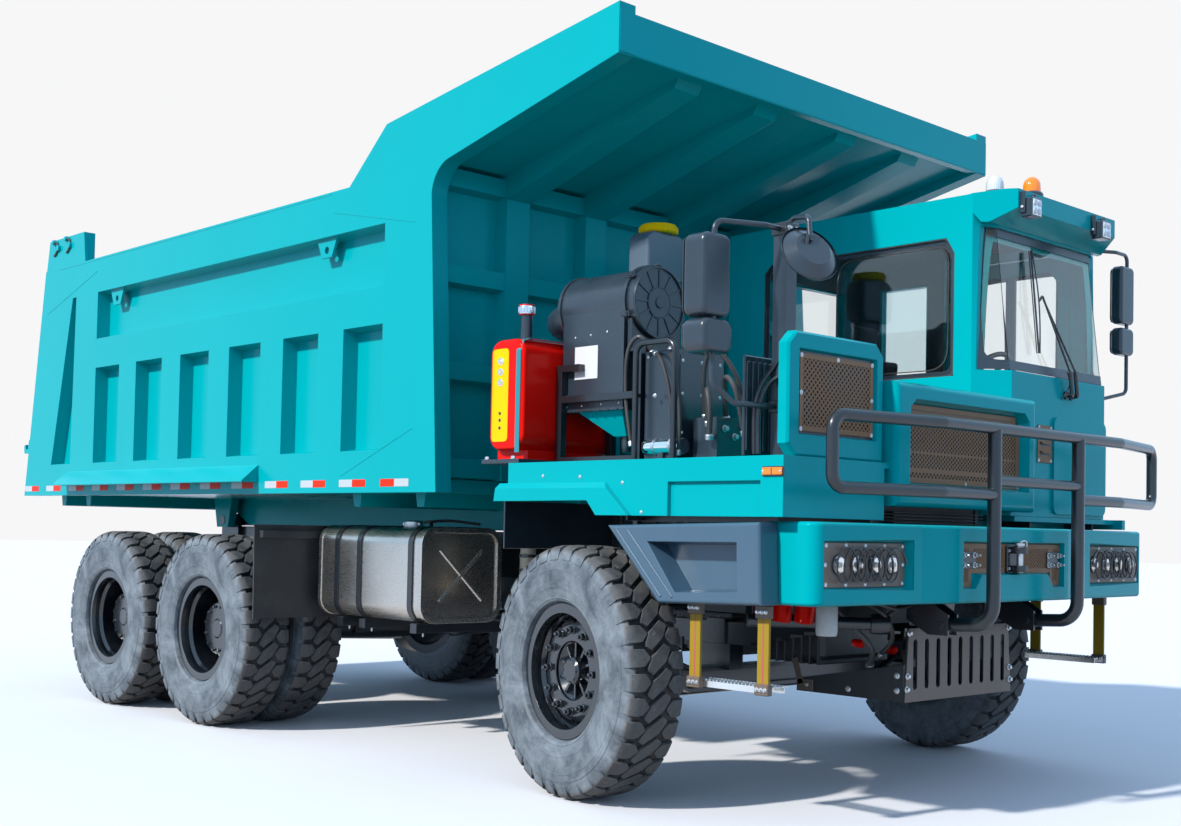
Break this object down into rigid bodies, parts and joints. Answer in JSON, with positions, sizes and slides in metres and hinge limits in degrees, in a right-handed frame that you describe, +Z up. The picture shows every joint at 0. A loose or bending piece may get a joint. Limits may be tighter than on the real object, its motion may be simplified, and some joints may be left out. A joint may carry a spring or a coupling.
{
  "type": "mining dump truck",
  "caption": "Off-highway tipper with an offset cab, canopy dump body, twin rear wheels, tilting body, steering and opening cab door.",
  "frame": {"origin": "under the middle of the truck's overall length and width, on the ground", "axes": "+X forwards, +Y to the truck's left, +Z up"},
  "size_m": [9.167, 4.175, 4.26],
  "materials": {
    "teal_paint": "semi-gloss",
    "slate_paint": "satin",
    "black_paint": "satin",
    "tyre_rubber": "matte",
    "black_plastic": "grained",
    "grey_plastic": "satin",
    "black_rubber": "matte",
    "yellow_belt": "woven belt",
    "red_paint": "gloss",
    "bright_aluminium": "brushed",
    "engine_iron": "painted casting",
    "radiator_core": "matte",
    "lamp_unit": "clear lenses on a bracket plate",
    "clear_glass": "clear",
    "seat_fabric": "woven",
    "polished_chrome": "polished"
  },
  "bodies": {
    "chassis": {"chassis_frame": "black_paint", "front_axle": "black_paint", "drive_axles": "black_paint", "leaf_springs": "black_paint", "propshafts": "black_paint", "engine_block": "engine_iron", "radiator": "radiator_core", "fuel_tank": "bright_aluminium", "fuel_tank_cradle": "black_paint", "mud_flaps": "black_rubber", "fender_decks": "teal_paint", "step_boxes": "slate_paint", "side_steps": "yellow_belt", "step_treads": "bright_aluminium", "hydraulic_tank": "red_paint", "air_cleaner": "black_plastic", "equipment_stand": "black_paint", "expansion_tank": "grey_plastic", "torque_rods": "black_paint", "air_tanks": "black_paint", "battery_box": "black_plastic", "side_grille_housing": "teal_paint", "engine_hood": "teal_paint", "bumper": "teal_paint", "headlamps": "lamp_unit", "guard_brackets": "black_paint", "skid_plate": "black_paint", "cab_shell": "teal_paint", "cab_glass": "clear_glass", "driver_seat": "seat_fabric", "dashboard": "black_plastic", "roof_lamps": "black_plastic", "mirrors": "black_plastic"},
    "guard": {"front_guard": "black_paint"},
    "cab_door": {"cab_door": "teal_paint", "door_glass": "clear_glass"},
    "track_rod": {"tie_rod": "black_paint"},
    "knuckle_right": {"steering_knuckle_right": "black_paint"},
    "knuckle_left": {"steering_knuckle_left": "black_paint"},
    "front_wheel_right": {"front_tyre_right": "tyre_rubber", "front_rim_right": "black_paint"},
    "front_wheel_left": {"front_tyre_left": "tyre_rubber", "front_rim_left": "black_paint"},
    "middle_wheels_right": {"middle_tyres_right": "tyre_rubber", "middle_rims_right": "black_paint"},
    "middle_wheels_left": {"middle_tyres_left": "tyre_rubber", "middle_rims_left": "black_paint"},
    "rear_wheels_right": {"rear_tyres_right": "tyre_rubber", "rear_rims_right": "black_paint"},
    "rear_wheels_left": {"rear_tyres_left": "tyre_rubber", "rear_rims_left": "black_paint"},
    "dump_body": {"body_sides": "teal_paint", "body_floor": "teal_paint", "body_headboard": "teal_paint", "body_canopy": "teal_paint"},
    "tailgate": {"tailgate": "teal_paint"},
    "hoist_barrels": {"hoist_barrels": "black_paint"},
    "hoist_stages": {"hoist_stages": "polished_chrome"},
    "hoist_rams": {"hoist_rams": "polished_chrome"}
  },
  "joints": [
    {"name": "steer_right", "type": "hinge", "parent": "chassis", "child": "knuckle_right", "pos_m": [2.8105, -1.424, 0.682], "axis": [0, 0, 1], "range_deg": [-26.3, 43.7]},
    {"name": "steer_left", "type": "hinge", "parent": "chassis", "child": "knuckle_left", "pos_m": [2.8105, 1.424, 0.682], "axis": [0, 0, 1], "range_deg": [-26.3, 43.7]},
    {"name": "track_rod_slide", "type": "slide", "parent": "chassis", "child": "track_rod", "axis": [0, -1, 0], "range_m": [-0.0984, 0.1622]},
    {"name": "front_wheel_right_spin", "type": "hinge", "parent": "knuckle_right", "child": "front_wheel_right", "pos_m": [2.77571, -1.65135, 0.682], "axis": [0.1513, 0.9885, 0], "continuous": true},
    {"name": "middle_wheels_right_spin", "type": "hinge", "parent": "chassis", "child": "middle_wheels_right", "pos_m": [-0.9095, -1.5945, 0.682], "axis": [0, 1, 0], "continuous": true},
    {"name": "rear_wheels_right_spin", "type": "hinge", "parent": "chassis", "child": "rear_wheels_right", "pos_m": [-2.4045, -1.5945, 0.682], "axis": [0, 1, 0], "continuous": true},
    {"name": "front_wheel_left_spin", "type": "hinge", "parent": "knuckle_left", "child": "front_wheel_left", "pos_m": [2.84529, 1.65135, 0.682], "axis": [0.1513, 0.9885, 0], "continuous": true},
    {"name": "middle_wheels_left_spin", "type": "hinge", "parent": "chassis", "child": "middle_wheels_left", "pos_m": [-0.9095, 1.5945, 0.682], "axis": [0, 1, 0], "continuous": true},
    {"name": "rear_wheels_left_spin", "type": "hinge", "parent": "chassis", "child": "rear_wheels_left", "pos_m": [-2.4045, 1.5945, 0.682], "axis": [0, 1, 0], "continuous": true},
    {"name": "dump_tilt", "type": "hinge", "parent": "chassis", "child": "dump_body", "pos_m": [-3.1395, 0, 1.47], "axis": [0, -1, 0], "range_deg": [0, 48]},
    {"name": "tailgate_swing", "type": "hinge", "parent": "dump_body", "child": "tailgate", "pos_m": [-3.9495, 0, 3.84], "axis": [0, 1, 0], "range_deg": [0, 60]},
    {"name": "hoist_swing", "type": "hinge", "parent": "chassis", "child": "hoist_barrels", "pos_m": [-1.6595, 0, 0.86], "axis": [0, -1, 0], "range_deg": [-0.05, 50.56]},
    {"name": "hoist_stage_slide", "type": "slide", "parent": "hoist_barrels", "child": "hoist_stages", "axis": [0.7792, 0, 0.6268], "range_m": [-0.0005, 0.65051]},
    {"name": "hoist_ram_slide", "type": "slide", "parent": "hoist_stages", "child": "hoist_rams", "axis": [0.7792, 0, 0.6268], "range_m": [-0.0005, 0.65051]},
    {"name": "cab_door_swing", "type": "hinge", "parent": "chassis", "child": "cab_door", "pos_m": [3.8005, 1.764, 2.485], "axis": [0, 0, -1], "range_deg": [0, 70]},
    {"name": "guard_fold", "type": "hinge", "parent": "chassis", "child": "guard", "pos_m": [4.2625, 0, 0.985], "axis": [0, 1, 0], "range_deg": [0, 90]}
  ],
  "couplings": [
    {"joint": "steer_left", "follows": "steer_right", "ratio": 1},
    {"joint": "track_rod_slide", "follows": "steer_right", "m_per_rad": 0.21},
    {"joint": "hoist_swing", "follows": "dump_tilt", "ratio": 1.0523},
    {"joint": "hoist_stage_slide", "follows": "dump_tilt", "m_per_rad": 0.7759},
    {"joint": "hoist_ram_slide", "follows": "dump_tilt", "m_per_rad": 0.7759}
  ]
}
